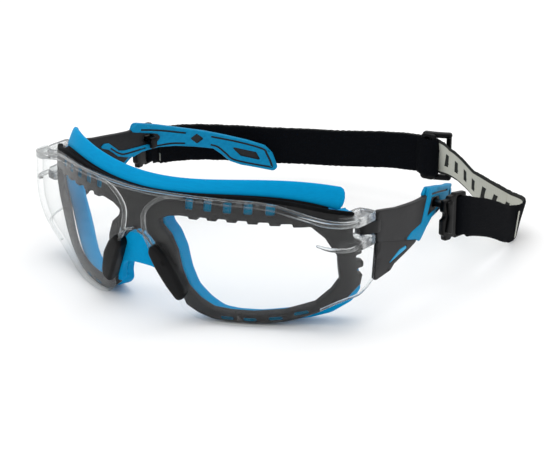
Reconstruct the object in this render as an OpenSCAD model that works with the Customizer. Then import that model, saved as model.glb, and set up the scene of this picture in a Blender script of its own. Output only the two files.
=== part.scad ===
/* [Lens] */
// Radius of the lens's outer spherical face
lens_r = 87; // [84:0.5:90]
// Thickness of the clear lens
lens_t = 2.2; // [1.8:0.1:2.3]
// Half of the width across the hinge lugs
half_w = 70; // [70:0.5:71]
// Thickness of the two clear leaves of each hinge lug
leaf_t = 3.6; // [3:0.1:4]

/* [Gasket and seal] */
// Thickness of the dark gasket frame behind the lens
gasket_t = 2.8; // [2:0.1:2.8]
// Depth of the soft face seal behind the gasket frame
seal_depth = 6.2; // [4:0.2:6.6]
// Thickness of the soft brow flange
flange_t = 1.8; // [1.2:0.1:2.2]
// Width of one vent slot in the gasket frame
slot_w = 2; // [1.4:0.1:2.6]

/* [Temples] */
// Thickness of a temple arm
arm_t = 2.6; // [2.4:0.1:2.8]
// Thickness of the hard core inside the soft grip
core_t = 1.2; // [1:0.1:1.4]
// Radius of the plan curve that the rear of a temple follows
toe_r = 118; // [116:1:120]
// Thickness of the side shield
shield_t = 1.6; // [1.2:0.1:1.8]

/* [Strap] */
// Width of the elastic strap
strap_w = 15; // [14:0.5:15]
// Thickness of one layer of the strap
strap_t = 1.3; // [1:0.1:1.4]

/* [Hinges] */
// Radius of a hinge pin
pin_r = 0.9; // [0.8:0.05:1]
// Radial running clearance between the pin and the temple's knuckle
pin_gap = 0.05; // [0.03:0.01:0.08]

/* [Hidden] */
$fn = 96;

// The lens is part of a sphere. The frame and the seal are deeper layers of the same sphere.
lens_cy = 86.7;
lens_cz = 32.5;
gasket_in = lens_t + 0.2;
seal_in = gasket_in + gasket_t + 0.2;

// One half of the lens's nose arch, from the middle of the bridge to the bottom of the nose arm.
nose_edge = [[0, 31], [1.8, 30.9], [4.3, 29.5], [7, 26.6], [9.5, 21.3], [12, 15.4], [14.9, 9.6]];
lens_top = [[0, 46.4], [20, 46.8], [40, 46.6], [47.5, 45.6], [55, 44.1], [62, 41.9], [67, 41]];
lens_low = [[70, 41], [70, 18], [68.4, 14], [64.5, 10.2], [58.5, 6.4], [52, 3.6], [46, 1.4],
            [38.5, 0], [31, 0], [24.4, 1.8], [18.8, 5.4]];

// The same outline for the gasket frame, which stops short of the hinge lug.
frame_top = [[0, 45.9], [15, 46.5], [30, 47.2], [38, 47.2], [45, 46.7], [50, 45.9], [54, 44.7], [59.5, 42.4]];
frame_low = [[61.8, 41], [61.8, 29.2], [66.2, 28], [66.4, 22], [65.8, 17.5], [63.4, 13.6], [59.4, 10.2],
             [53, 6.6], [46, 3.4], [38.5, 1.6], [31, 1.5], [25, 3], [19.6, 6.4]];

// One eye opening, clockwise from its upper nose corner.
eye = [[8.6, 36.6], [12, 38.4], [18, 39.3], [28, 39.6], [40, 39.5], [50, 38.9], [56, 37.6], [60, 33.2],
       [62.8, 27.6], [62.6, 16.6], [59, 11.9], [54, 8.6], [47.6, 6.4], [38, 5.3], [30.6, 5.3], [25, 6],
       [20.8, 8.4], [17.4, 12.4], [15.8, 18.4], [14.9, 26], [12.6, 31.6], [9.2, 34.6]];
// Vents stand in a row above each eye opening, at these places along X, and in a row below it, as [x, z].
vent_row = [19.8, 26.2, 32.6, 39, 45.4];
vent_low = 41.3;
vent_high = 44.6;
vent_below = [[28.4, 3.3], [35.3, 2.7], [43.3, 4]];
vent_below_len = 4;
vent_below_high = 1.2;
// The seal's top stays under the brow flange.
seal_drop = 1.7;
soft_blue = [0, 0.57, 0.8];
seal_top = [for (p = frame_top) [p.x, p.y - seal_drop]];
// The seal shows a little below the frame at the outer corner.
seal_low = [[58.8, 40.4], [59.4, 30], [60.6, 22], [60.2, 14], [57.4, 8.6], [52, 5.2], [45, 2.7],
            [38.5, 1.6], [31, 1.5], [25, 3], [19.6, 6.4]];

// Nose pads sit on the nose arms, inside the arch.
pad_outer = [[7, 26.6], [9.5, 21.3], [12, 15.4], [14.9, 9.6]];
pad_inner = [[12.6, 8], [9.2, 14], [6.6, 20], [4.9, 24.6], [5.2, 26.2]];
// How far a pad stands out of the lens's face, and its gap to the seal.
pad_out = 0.6;
pad_gap = 0.2;
// The seal's curtain hangs between the nose pads, under the bridge.
curtain_top = [[0, 30.9], [1.8, 30.8], [4.3, 29.4], [5.1, 26.2]];
curtain_low = [[4.8, 24.6], [6.5, 19.9], [9.1, 13.9], [12.2, 8.1], [10.4, 7.2], [8.4, 11], [6.9, 15.2],
               [4, 17.6], [0, 18.4]];
// Behind the frame the curtain reaches up to the bridge.
curtain_back_top = [[0, 33], [8, 33]];
curtain_t = 1.2;

// The front and the back that a front outline is pushed between, clear of every layer.
front_from = -5;
front_to = 60;
// The side that a side outline is pushed out to, and the height of the space round a temple.
side_to = 90;
space_high = 60;
space_long = 100;
space_front = 30;

hinge_in = 4.5;
hinge_x = half_w - hinge_in;
hinge_y = 41;
lug_low = 29;
lug_high = 41;
lug_r = 3;
lug_gap = 0.35;
lug_front = 33.6;
lug_bevel = 1.4;
lug_bevel_x = 66;
knuckle_gap = 0.15;
knuckle_r = 2.7;
knuckle_back = 2;
arm_front = 43.85;
toe_start = 60;
toe_facets = 200;

// Side outlines, as [y, z]. The temple core runs from the hinge to the tip, inside the grip.
core_side = [[arm_front, 29.2], [arm_front, 40.6], [57, 38], [70, 36.6], [78, 36.4], [80.5, 37], [91, 34.6],
             [103, 31.2], [118, 25.8], [130, 20.6], [134, 16], [134.6, 11.8], [127, 14.6], [121.6, 17.4],
             [117, 21.8], [107.5, 25.2], [98, 27.4], [90, 28.2], [81, 28], [75, 25.4], [71.8, 23.4],
             [69.8, 22]];
grip_side = [[76.4, 38.2], [78.4, 38.9], [80.5, 38.6], [91, 35.9], [101, 32.8], [111.4, 29.7], [119.7, 26.7],
             [128, 23.4], [134, 20.4], [136.2, 17.4], [138, 11], [136.7, 9.4], [130.6, 11.6], [125.2, 13.4],
             [121, 15.6], [118, 18.8], [114.6, 21.9], [107.5, 23.8], [98.4, 25.8], [90.7, 26.8], [81.8, 26.6],
             [77.5, 24.6], [72, 21], [70.4, 22.4], [61.8, 24.8], [66, 26.6], [72.6, 27.6]];
// The hard core shows between the grip's two struts, around the slot that takes the clip.
grip_gap = [[75.8, 27.8], [81, 28.6], [90, 29.4], [91.4, 30.8], [90, 32.4], [79.4, 35], [78.6, 33.6]];
grip_solid_from = 88;
// The wing's outline reaches a little into the low leaf of the lug.
wing_side = [[33, 15.5], [36, 14.2], [41.9, 15.9], [arm_front - 0.3, lug_low + 0.1], [33, lug_low + 0.1]];
wing_t = 2.1;
shield_side = [[arm_front, 29.05], [42.2, 15.9], [52.6, 16.4], [55.1, 18.1], [69.2, 21.5], [69.8, 21.9]];
inlay_side = [[50.6, 19.2], [58.1, 22.5], [62.6, 22.8], [62.6, 21.6]];
inlay_t = 0.8;
skin_t = (arm_t - core_t) / 2;

// The clip hooks through a slot in the core, with its plate outside the temple.
clip_y = 80.6;
clip_len = 16.4;
clip_low = 17.8;
clip_high = 35.4;
clip_sunk = 0.6;
clip_t = 2.2;
clip_turn = -9;
loop_at = 9.2;
loop_w = 3.6;
loop_rim = 1.1;
loop_room = 0.4;
notch_len = 5;
notch_high = 5;
slot_y = 83.4;
slot_len = 4.6;
slot_low = 29.8;
slot_high = 32.8;
slot_gap = 0.4;
hook_x = 62.2;
hook_t = 1.4;
hook_drop = 2.2;
hook_out = 0.6;

// The strap's route from the left clip, round the back, to the right clip: [x, y, lower edge].
strap_route = [[73.4, 97.4, 16.4], [73.4, 105, 14.2], [72.9, 113, 11.4], [72.2, 121, 8], [71.2, 129, 4.4],
               [70, 136, 1.6], [68.9, 140, 0.5], [68.2, 143, 0], [66.9, 146.5, 0], [64.8, 149.4, 0],
               [61.8, 151.4, 0], [58.4, 152.6, 0.4], [52, 154.4, 3], [45.5, 156.2, 6.6], [39, 158, 10.6],
               [32.5, 158.9, 13.6], [26, 158.7, 14.8], [18, 157.9, 14.8], [10, 157.1, 14.4], [2, 156.2, 13.8],
               [-8, 154.8, 12.6], [-20, 152.2, 11.4], [-32, 148.6, 10.8], [-42, 143.9, 10.6],
               [-49.6, 138.8, 11], [-56, 133, 11.8], [-61.6, 125.6, 13], [-66, 117.4, 14.4],
               [-69.6, 108.6, 15.6], [-72, 101, 16.2], [-73.2, 97.4, 16.4]];
// The places on the route where one section ends and the next starts.
left_end = 6;
corner_end = 11;
back_end = 23;
route_end = len(strap_route) - 1;
// The return layer lies on the inner side of the strap, from the slider to the right clip.
return_start = 17;
return_end = route_end - 1;
layer_gap = 0.15;
route_steps = 2;
webbing_black = [0.06, 0.07, 0.09];

// The slider's frame, around the strap.
slider_at = [24, 156.6, 22.3];
slider_len = 11;
slider_high = 20;
slider_t = 2;
slider_bar = 2;
rail_t = 1.6;
rail_deep = 6;

function mirrored(half) =
    concat(half, [for (i = [len(half) - 1:-1:0]) if (half[i].x != 0) [-half[i].x, half[i].y]]);
function reversed(list) = [for (i = [len(list) - 1:-1:0]) list[i]];

// A closed front outline from the top edge, the lower edge and the nose arch of one half.
function front_outline(top, low) = mirrored(concat(top, low, reversed(nose_edge)));

// The brow flange's lower and upper edges, as y and z over the share s of its half width.
brow_half = 60;
brow_steps = 12;
function brow_low(s) = [6.2 + 23.3 * s * s + 3.6 * pow(s, 4), 46.1 + 8.6 * s * s - 12.3 * pow(s, 4)];
function brow_high(s) = [10.5 + 20.5 * s * s + 6.2 * pow(s, 4), 49.6 + 9.1 * s * s - 10 * pow(s, 4)];
function brow_ring(s) =
    let (a = brow_low(s), b = brow_high(s), d = (b - a) / norm(b - a), n = [d[1], -d[0]] * flange_t,
         x = brow_half * s)
    [[x, a[0], a[1]], [x, a[0] + n[0], a[1] + n[1]], [x, b[0] + n[0], b[1] + n[1]], [x, b[0], b[1]]];

// A route with round corners: a Catmull-Rom curve through its points.
function bend_point(a, b, c, d, t) =
    0.5 * (2 * b + (c - a) * t + (2 * a - 5 * b + 4 * c - d) * t * t + (3 * b - a - 3 * c + d) * t * t * t);
function smooth_route(r) = concat(
    [for (i = [0:len(r) - 2], k = [0:route_steps - 1])
        bend_point(r[max(i - 1, 0)], r[i], r[i + 1], r[min(i + 2, len(r) - 1)], k / route_steps)],
    [r[len(r) - 1]]);
function side_of(r, i) =
    let (a = r[max(i - 1, 0)], b = r[min(i + 1, len(r) - 1)], l = norm([b.x - a.x, b.y - a.y]))
    [(b.y - a.y) / l, -(b.x - a.x) / l, 0];

// Joins rings of four points each into a closed solid.
module four_sided_loft(rings) {
    n = len(rings);
    points = [for (r = rings) each r];
    sides = [for (i = [0:n - 2], k = [0:3])
        let (a = 4 * i + k, b = 4 * i + (k + 1) % 4)
        each [[a, b, b + 4], [a, b + 4, a + 4]]];
    ends = [[2, 1, 0], [3, 2, 0], [4 * n - 4, 4 * n - 3, 4 * n - 2], [4 * n - 4, 4 * n - 2, 4 * n - 1]];
    polyhedron(points = points, faces = concat(sides, ends), convexity = 6);
}

// An upright band of webbing along a stretch of the route, moved sideways by shift.
module webbing(first, last, shift = 0) {
    r = smooth_route(strap_route);
    rings = [for (i = [first * route_steps:last * route_steps])
        let (s = side_of(r, i), a = r[i] + s * (shift - strap_t / 2), b = r[i] + s * (shift + strap_t / 2),
             up = [0, 0, strap_w])
        [a, a + up, b + up, b]];
    four_sided_loft(rings);
}

// The layer between two depths below the lens's outer face.
module shell(from, to) {
    translate([0, lens_cy, lens_cz])
        difference() {
            sphere(r = lens_r - from);
            sphere(r = lens_r - to);
        }
}

// A front outline, as x and z, pushed back along Y.
module front_prism(points) {
    translate([0, front_to, 0])
        rotate([90, 0, 0])
            linear_extrude(height = front_to - front_from)
                polygon(points);
}

// A side outline, as y and z, pushed out along X.
module side_prism(points, from = 0, to = side_to) {
    translate([from, 0, 0])
        rotate([90, 0, 90])
            linear_extrude(height = to - from)
                polygon(points);
}

// The space between two depths below a temple's outer face, in plan.
module arm_layer(from, to) {
    translate([half_w - to, space_front, 0])
        cube([to - from, toe_start - space_front, space_high]);
    intersection() {
        translate([half_w - toe_r, toe_start, 0])
            difference() {
                cylinder(r = toe_r - from, h = space_high, $fn = toe_facets);
                translate([0, 0, -1])
                    cylinder(r = toe_r - to, h = space_high + 2, $fn = toe_facets);
            }
        translate([0, toe_start, 0])
            cube([side_to, space_long, space_high]);
    }
}

module left_or_right(right) {
    if (right)
        mirror([1, 0, 0]) children();
    else
        children();
}

// The leaves of one hinge lug, with the bore for the pin.
module lug() {
    for (z = [lug_low, lug_high - leaf_t])
        translate([0, 0, z])
            difference() {
                union() {
                    linear_extrude(height = leaf_t)
                        polygon([[hinge_x - lug_r, hinge_y], [hinge_x - lug_r, lug_front],
                                 [lug_bevel_x, lug_front], [half_w, lug_front + lug_bevel],
                                 [half_w, arm_front - lug_gap], [hinge_x, arm_front - lug_gap]]);
                    translate([hinge_x, hinge_y, 0])
                        cylinder(r = lug_r, h = leaf_t);
                }
                translate([hinge_x, hinge_y, -1])
                    cylinder(r = pin_r, h = leaf_t + 2);
            }
}

// The clear side wing that fills the gap between the lens and the temple.
module wing() {
    side_prism(wing_side, half_w - wing_t, half_w);
}

module lens() {
    color([0.86, 0.9, 0.92, 0.45]) {
        intersection() {
            shell(0, lens_t);
            front_prism(front_outline(lens_top, lens_low));
        }
        for (right = [false, true])
            left_or_right(right) {
                lug();
                wing();
            }
    }
}

// A level slot through the front, from its lower corner at [x, z].
module vent(corner, wide, high) {
    front_prism([corner, corner + [wide, 0], corner + [wide, high], corner + [0, high]]);
}

module vents() {
    for (x = vent_row)
        vent([x - slot_w / 2, vent_low], slot_w, vent_high - vent_low);
    for (v = vent_below)
        vent(v - [vent_below_len / 2, 0], vent_below_len, vent_below_high);
}

module gasket_frame() {
    color([0.22, 0.22, 0.23])
        difference() {
            intersection() {
                shell(gasket_in, gasket_in + gasket_t);
                front_prism(front_outline(frame_top, frame_low));
            }
            for (right = [false, true])
                left_or_right(right) {
                    front_prism(eye);
                    vents();
                }
        }
}

// The soft seal: a ring round each eye and a curtain over the nose.
module face_seal() {
    color(soft_blue)
        union() {
            difference() {
                intersection() {
                    shell(seal_in, seal_in + seal_depth);
                    front_prism(front_outline(seal_top, seal_low));
                }
                for (right = [false, true])
                    left_or_right(right) front_prism(eye);
            }
            intersection() {
                shell(gasket_in, seal_in + curtain_t);
                front_prism(mirrored(concat(curtain_top, curtain_low)));
            }
            intersection() {
                shell(seal_in, seal_in + curtain_t);
                front_prism(mirrored(concat(curtain_back_top, curtain_low)));
            }
        }
}

// The soft flange that closes the gap above the brow.
module brow_flange() {
    color(soft_blue)
        four_sided_loft([for (i = [-brow_steps:brow_steps]) brow_ring(i / brow_steps)]);
}

module nose_pad(right) {
    color([0.09, 0.09, 0.1])
        left_or_right(right)
            intersection() {
                shell(-pad_out, seal_in - pad_gap);
                front_prism(concat(pad_outer, pad_inner));
            }
}

module hinge_pin(right) {
    color("silver")
        left_or_right(right)
            translate([hinge_x, hinge_y, lug_low])
                cylinder(r = pin_r, h = lug_high - lug_low);
}

// The knuckle turns on the pin, between the two leaves of the lug.
module knuckle() {
    low = lug_low + leaf_t + knuckle_gap;
    high = lug_high - leaf_t - knuckle_gap;
    translate([0, 0, low])
        difference() {
            union() {
                translate([hinge_x, hinge_y, 0])
                    cylinder(r = knuckle_r, h = high - low);
                linear_extrude(height = high - low)
                    polygon([[hinge_x, hinge_y - 0.5], [half_w - 0.8, arm_front - 1.6], [half_w, arm_front],
                             [half_w, arm_front + knuckle_back], [half_w - arm_t, arm_front + knuckle_back],
                             [hinge_x - 1, hinge_y + 2.4]]);
            }
            translate([hinge_x, hinge_y, -1])
                cylinder(r = pin_r + pin_gap, h = high - low + 2);
        }
}

module core_slot() {
    slot_rear = slot_y + slot_len;
    side_prism([[slot_y, slot_low], [slot_rear, slot_low], [slot_rear, slot_high], [slot_y, slot_high]]);
}

// The full thickness ends where the grip starts. From there only the thin core goes on.
module core_solid() {
    intersection() {
        side_prism(core_side);
        union() {
            arm_layer(skin_t, arm_t - skin_t);
            difference() {
                arm_layer(0, arm_t);
                side_prism(grip_side);
                translate([0, grip_solid_from, 0])
                    cube([side_to, space_long, space_high]);
            }
            intersection() {
                arm_layer(0, arm_t);
                side_prism(grip_gap);
            }
        }
    }
}

module temple_core(right) {
    color([0.2, 0.2, 0.21])
        left_or_right(right)
            difference() {
                union() {
                    core_solid();
                    knuckle();
                }
                core_slot();
            }
}

module side_shield(right) {
    color([0.24, 0.24, 0.25])
        left_or_right(right)
            difference() {
                intersection() {
                    side_prism(shield_side);
                    arm_layer(0, shield_t);
                }
                side_prism(inlay_side, half_w - inlay_t);
            }
}

module shield_inlay(right) {
    color([0.2, 0.62, 0.82])
        left_or_right(right)
            side_prism(inlay_side, half_w - inlay_t, half_w);
}

// The soft grip wraps the core on both sides and stands round its edge.
module temple_grip(right) {
    color([0.08, 0.55, 0.75])
        left_or_right(right)
            difference() {
                intersection() {
                    side_prism(grip_side);
                    arm_layer(0, arm_t);
                }
                intersection() {
                    side_prism(core_side);
                    arm_layer(skin_t, arm_t - skin_t);
                }
                side_prism(grip_gap);
            }
}

module strap_clip(right) {
    color([0.13, 0.13, 0.14])
        left_or_right(right) {
            translate([half_w - clip_sunk, clip_y, clip_low])
                rotate([0, 0, clip_turn])
                    difference() {
                        cube([clip_t, clip_len, clip_high - clip_low]);
                        translate([-1, loop_at, loop_rim])
                            cube([clip_t + 2, loop_w, strap_w + loop_room]);
                        translate([-1, -1, -1])
                            cube([clip_t + 2, notch_len + 1, notch_high + 1]);
                    }
            translate([hook_x, slot_y + slot_gap, slot_low + slot_gap])
                cube([half_w + hook_out - hook_x, slot_len - 2 * slot_gap,
                      slot_high - slot_low - 2 * slot_gap]);
            translate([hook_x, slot_y + slot_gap, slot_low - hook_drop])
                cube([hook_t, slot_len - 2 * slot_gap, hook_drop + slot_high - slot_low - slot_gap]);
        }
}

module strap_left_run() {
    color(webbing_black) webbing(0, left_end);
}

module strap_corner() {
    color(webbing_black) webbing(left_end, corner_end);
}

module strap_back() {
    color(webbing_black) webbing(corner_end, back_end);
}

module strap_right_run() {
    color(webbing_black) webbing(back_end, route_end);
}

module strap_return_back() {
    color(webbing_black) webbing(return_start, back_end, -strap_t - layer_gap);
}

module strap_return_run() {
    color(webbing_black) webbing(back_end, return_end, -strap_t - layer_gap);
}

// A three-bar slider: the return layer is sewn round its middle bar, and rails hold the strap behind them.
module strap_slider() {
    color([0.15, 0.15, 0.16])
        translate([slider_at.x - slider_len / 2, slider_at.y, slider_at.z - slider_high / 2]) {
            for (x = [0, (slider_len - slider_bar) / 2, slider_len - slider_bar])
                translate([x, -slider_t, 0])
                    cube([slider_bar, slider_t, slider_high]);
            for (z = [0, slider_high - rail_t])
                translate([0, -slider_t, z])
                    cube([slider_len, rail_deep, rail_t]);
        }
}

lens();
gasket_frame();
face_seal();
brow_flange();
nose_pad(false);  // nose_pad_left
nose_pad(true);  // nose_pad_right
hinge_pin(false);  // hinge_pin_left
hinge_pin(true);  // hinge_pin_right
temple_core(false);  // temple_core_left
temple_core(true);  // temple_core_right
side_shield(false);  // side_shield_left
side_shield(true);  // side_shield_right
shield_inlay(false);  // shield_inlay_left
shield_inlay(true);  // shield_inlay_right
temple_grip(false);  // temple_grip_left
temple_grip(true);  // temple_grip_right
strap_clip(false);  // strap_clip_left
strap_clip(true);  // strap_clip_right
strap_left_run();
strap_corner();
strap_back();
strap_right_run();
strap_return_back();
strap_return_run();
strap_slider();
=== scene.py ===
import math

import bmesh
import bpy
import numpy as np
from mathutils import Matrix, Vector
from mathutils.geometry import delaunay_2d_cdt


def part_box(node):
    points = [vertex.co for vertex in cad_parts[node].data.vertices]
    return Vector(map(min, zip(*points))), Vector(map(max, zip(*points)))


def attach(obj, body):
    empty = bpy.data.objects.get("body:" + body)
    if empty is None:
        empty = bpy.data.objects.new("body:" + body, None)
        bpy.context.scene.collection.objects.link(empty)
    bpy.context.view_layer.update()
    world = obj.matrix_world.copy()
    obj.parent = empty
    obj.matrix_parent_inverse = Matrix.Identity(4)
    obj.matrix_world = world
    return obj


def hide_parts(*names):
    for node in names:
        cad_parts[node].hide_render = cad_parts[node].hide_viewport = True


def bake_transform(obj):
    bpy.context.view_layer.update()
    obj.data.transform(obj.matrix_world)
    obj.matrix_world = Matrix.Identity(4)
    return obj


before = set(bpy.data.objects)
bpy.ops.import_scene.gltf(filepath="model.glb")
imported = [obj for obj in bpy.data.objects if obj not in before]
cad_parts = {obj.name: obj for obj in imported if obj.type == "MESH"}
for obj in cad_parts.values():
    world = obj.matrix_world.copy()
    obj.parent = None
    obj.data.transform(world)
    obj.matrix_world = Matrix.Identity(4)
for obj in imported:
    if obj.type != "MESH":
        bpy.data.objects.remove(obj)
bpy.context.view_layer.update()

# Camera: a long lens at the wearer's front left, a little above the table, with no shift and no roll.
camera_at = Vector((0.37083734, -0.42745672, 0.23721397))
camera_back = Vector((0.5522141, -0.76112693, 0.34021373))
camera = bpy.data.objects.new("camera", bpy.data.cameras.new("camera"))
camera.data.lens = 114.168
camera.data.sensor_width = 36
camera.data.clip_start = 0.01
camera.location = camera_at
camera.rotation_euler = (-camera_back).to_track_quat("-Z", "Y").to_euler()
bpy.context.scene.collection.objects.link(camera)
bpy.context.scene.camera = camera

# Studio: a plain white table under soft light from all round, with four lamps over it, in front of it,
# beside it and behind it. The front one isn't seen in reflections, so the lens stays clear.
bpy.context.scene.view_settings.view_transform = "Standard"


def linear(r, g, b):
    """A colour given in 0 to 255 steps, as the linear colour that a shader takes."""
    return tuple(v / 255 / 12.92 if v < 11 else ((v / 255 + 0.055) / 1.055) ** 2.4
                 for v in (r, g, b)) + (1,)


def finish_named(name, colour, rough):
    """A new material, its node tree and its one Principled shader."""
    material = bpy.data.materials.new(name)
    material.use_nodes = True
    shader = material.node_tree.nodes["Principled BSDF"]
    shader.inputs["Base Color"].default_value = colour
    shader.inputs["Roughness"].default_value = rough
    return material, material.node_tree, shader


table_half = 8
horizon_light, overhead_light = 0.55, 1.15
table_finish, tree, shader = finish_named("table_white", linear(250, 250, 250), 0.9)
shader.inputs["Specular IOR Level"].default_value = 0.1
mesh = bpy.data.meshes.new("table")
mesh.from_pydata([(x * table_half, y * table_half, 0)
                  for x, y in ((-1, -1), (1, -1), (1, 1), (-1, 1))], [], [(0, 1, 2, 3)])
mesh.materials.append(table_finish)
table = bpy.data.objects.new("table", mesh)
bpy.context.scene.collection.objects.link(table)

world = bpy.data.worlds.new("studio")
bpy.context.scene.world = world
world.use_nodes = True
make, link = world.node_tree.nodes.new, world.node_tree.links.new
sky, split, fade = make("ShaderNodeTexCoord"), make("ShaderNodeSeparateXYZ"), make("ShaderNodeMapRange")
fade.inputs["To Min"].default_value = horizon_light
fade.inputs["To Max"].default_value = overhead_light
link(sky.outputs["Generated"], split.inputs[0])
link(split.outputs[2], fade.inputs["Value"])
link(fade.outputs[0], world.node_tree.nodes["Background"].inputs["Strength"])
world.node_tree.nodes["Background"].inputs["Color"].default_value = (1, 1, 1, 1)
lamps_aim = Vector((0, 0.05, 0.03))
for name, at, size, power in (("lamp_over", (-0.1, 0.1, 0.9), 0.8, 1.9),
                              ("lamp_front", (-0.6, -0.7, 0.5), 0.4, 1.0),
                              ("lamp_side", (0.9, 0.1, 0.35), 0.25, 0.6),
                              ("lamp_back", (0.2, 0.9, 0.6), 0.5, 0.8)):
    lamp = bpy.data.lights.new(name, "AREA")
    lamp.size = size
    lamp.energy = power
    holder = bpy.data.objects.new(name, lamp)
    holder.location = at
    holder.visible_glossy = name != "lamp_front"
    holder.rotation_euler = (Vector(at) - lamps_aim).to_track_quat("Z", "Y").to_euler()
    bpy.context.scene.collection.objects.link(holder)

# Lens: one clear injection-moulded sheet of polycarbonate, part of a sphere that turns back at each
# side. A thick bead runs along its brow, and a raised rib and a nose arm down each side of the nose.
MM = 0.001
lens_r = 87
lens_centre = np.array([0, 86.7, 32.5])
lens_t = 2.2
half_w = 70
nose_edge = [[0, 31], [1.8, 30.9], [4.3, 29.5], [7, 26.6], [9.5, 21.3], [12, 15.4], [14.9, 9.6]]
lens_top = [[0, 47.1], [20, 47.5], [40, 47.2], [47.5, 46.3], [55, 44.7], [62, 43], [68, 41.9],
            [74, 41.3], [79, 41.1]]
lens_low = [[79.6, 40.9], [79.8, 29.2], [90, 28.8], [89.2, 16.4], [84, 14.6], [78, 13.6], [71, 12.4],
            [66, 10.4], [60, 7.2], [53, 3.9], [46, 1.3], [38.5, 0.1], [31, 0.05], [24.4, 0.4],
            [19, 2.2], [15.4, 5.4]]
side_turn = [(48, 13.6), (54, 15.8), (60, 18.6), (65, 21.6), (68.6, 25.4), (70, 30), (70, 36),
             (70, 43.4)]


def mirrored(half):
    """The closed outline whose one half is given, from one point on the middle line to another."""
    return half + [[-x, z] for x, z in reversed(half) if x]


def rounded(corners, radius, step):
    """A closed outline with its corners rounded off, as points about one step apart."""
    p = np.array(corners, float)
    out = []
    for before, here, after in zip(np.roll(p, 1, 0), p, np.roll(p, -1, 0)):
        a, b = before - here, after - here
        la, lb = np.linalg.norm(a), np.linalg.norm(b)
        turn = math.pi - math.acos(max(-1, min(1, a @ b / (la * lb))))
        reach = min(radius * math.tan(min(turn, 2.6) / 2) + 1e-3, 0.48 * la, 0.48 * lb)
        start, end = here + a / la * reach, here + b / lb * reach
        for t in np.linspace(0, 1, max(2, int(math.ceil(turn / 0.3)) + 1)):
            out.append((1 - t) ** 2 * start + 2 * t * (1 - t) * here + t * t * end)
    dense = []
    for a, b in zip(out, out[1:] + out[:1]):
        n = max(1, int(round(np.linalg.norm(b - a) / step)))
        dense += [a + (b - a) * k / n for k in range(n) if np.linalg.norm(b - a) > 1e-4]
    return np.array(dense)


def turned(loop, way):
    """The loop in counterclockwise order for way 1, and clockwise for way -1."""
    a, b = loop, np.roll(loop, -1, 0)
    return loop if (a[:, 0] * b[:, 1] - b[:, 0] * a[:, 1]).sum() * way > 0 else loop[::-1]


def inset(loop, by):
    """The loop moved to its left."""
    a = loop - np.roll(loop, 1, 0)
    b = np.roll(loop, -1, 0) - loop
    a, b = (np.stack([-v[:, 1], v[:, 0]], 1) / np.linalg.norm(v, axis=1)[:, None] for v in (a, b))
    m = a + b
    m /= np.maximum(np.linalg.norm(m, axis=1), 1e-6)[:, None]
    return loop + m * (by / np.maximum((m * a).sum(1), 0.6))[:, None]


def within(spots, loops):
    """Which of the spots lie inside the outer loop and outside the others."""
    hit = np.zeros(len(spots), bool)
    x, y = spots[:, 0], spots[:, 1]
    for loop in loops:
        for (x0, y0), (x1, y1) in zip(loop, np.roll(loop, -1, 0)):
            if y0 != y1:
                hit ^= ((y0 > y) != (y1 > y)) & (x < (x1 - x0) * (y - y0) / (y1 - y0) + x0)
    return hit


def make_piece(name, points, faces, marks, finishes, crease=38, weave=None):
    """A mesh object from points in millimetres, with even normals and smooth shading.
    marks has each face's finish number, and weave each point's place on the cloth, if it is cloth."""
    mesh = bpy.data.meshes.new(name)
    mesh.from_pydata([tuple(c * MM for c in p) for p in points], [], faces)
    for f in finishes:
        mesh.materials.append(f)
    mesh.polygons.foreach_set("material_index", marks)
    if weave:
        layer = mesh.uv_layers.new(name="weave")
        for loop in mesh.loops:
            layer.data[loop.index].uv = weave[loop.vertex_index]
    work = bmesh.new()
    work.from_mesh(mesh)
    bmesh.ops.remove_doubles(work, verts=work.verts, dist=0.002 * MM)
    bmesh.ops.recalc_face_normals(work, faces=work.faces)
    work.to_mesh(mesh)
    work.free()
    mesh.polygons.foreach_set("use_smooth", [True] * len(mesh.polygons))
    mesh.set_sharp_from_angle(angle=math.radians(crease))
    piece = bpy.data.objects.new(name, mesh)
    bpy.context.scene.collection.objects.link(piece)
    return piece


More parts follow.
